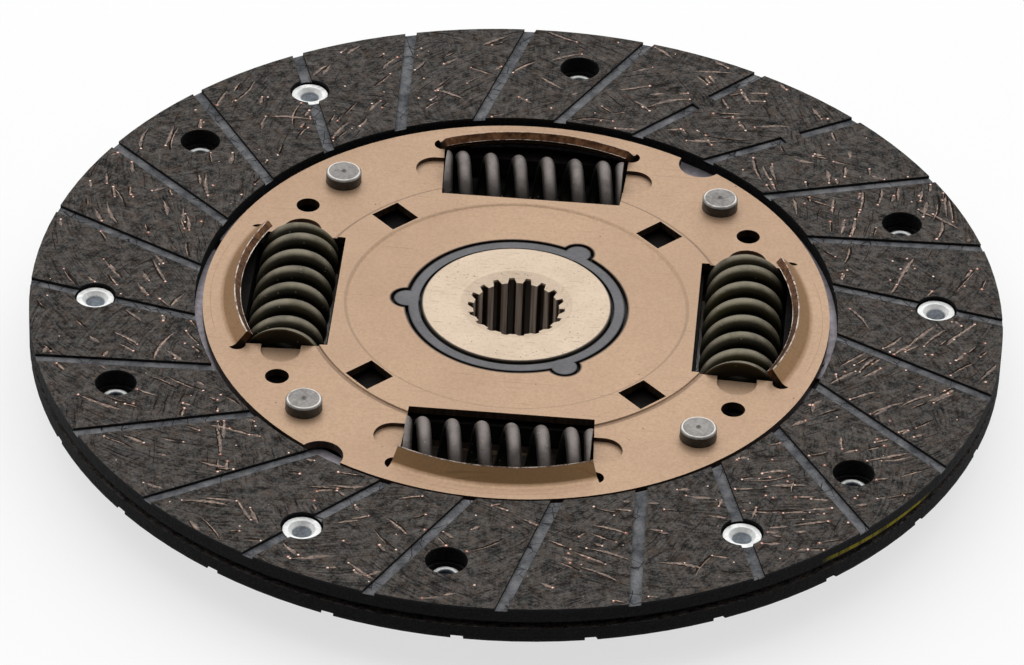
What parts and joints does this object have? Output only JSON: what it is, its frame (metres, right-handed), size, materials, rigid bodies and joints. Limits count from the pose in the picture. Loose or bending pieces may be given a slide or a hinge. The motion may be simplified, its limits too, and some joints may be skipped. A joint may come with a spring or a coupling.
{
  "type": "clutch disc",
  "caption": "Round dry clutch disc with two grooved friction facings, a spring torsion damper under a windowed cover plate and a splined hub.",
  "frame": {"origin": "centre of the hub's rear end face, which is the face that the disc rests on", "axes": "+Z along the disc's axis, out of the front cover plate; +X and +Y through the middles of two neighbouring spring windows"},
  "size_m": [0.215, 0.215, 0.022],
  "materials": {
    "friction_lining": "matt woven fibre with copper strands",
    "rivet_steel": "bright plated",
    "segment_steel": "rolled spring steel",
    "plate_sheet": "satin, bonderised tan",
    "pin_steel": "turned",
    "heavy_spring_wire": "satin olive black",
    "light_spring_wire": "satin grey",
    "bush_plastic": "moulded",
    "hub_steel": "phosphated cream",
    "flange_steel": "dark oiled"
  },
  "bodies": {
    "hub_group": {"hub": "hub_steel", "hub_flange": "flange_steel"},
    "disc_group": {"front_facing": "friction_lining", "rear_facing": "friction_lining", "front_facing_rivets": "rivet_steel", "rear_facing_rivets": "rivet_steel", "cushion_segment_1": "segment_steel", "cushion_segment_2": "segment_steel", "cushion_segment_3": "segment_steel", "cushion_segment_4": "segment_steel", "cushion_segment_5": "segment_steel", "cushion_segment_6": "segment_steel", "segment_rivets": "rivet_steel", "front_cover_plate": "plate_sheet", "rear_cover_plate": "plate_sheet", "stop_pin_1": "pin_steel", "stop_pin_2": "pin_steel", "stop_pin_3": "pin_steel", "stop_pin_4": "pin_steel", "damper_spring_1": "heavy_spring_wire", "damper_spring_2": "light_spring_wire", "damper_spring_3": "heavy_spring_wire", "damper_spring_4": "light_spring_wire", "friction_bush": "bush_plastic", "rear_friction_ring": "bush_plastic", "support_plate": "segment_steel", "diaphragm_spring": "segment_steel"}
  },
  "joints": [
    {"name": "damper_twist", "type": "hinge", "parent": "hub_group", "child": "disc_group", "pos_m": [0, 0, 0.0132], "axis": [0, 0, 1], "range_deg": [-9, 9], "stiffness_Nm_per_rad": 120, "deforming": ["damper_spring_1", "damper_spring_2", "damper_spring_3", "damper_spring_4"]}
  ]
}
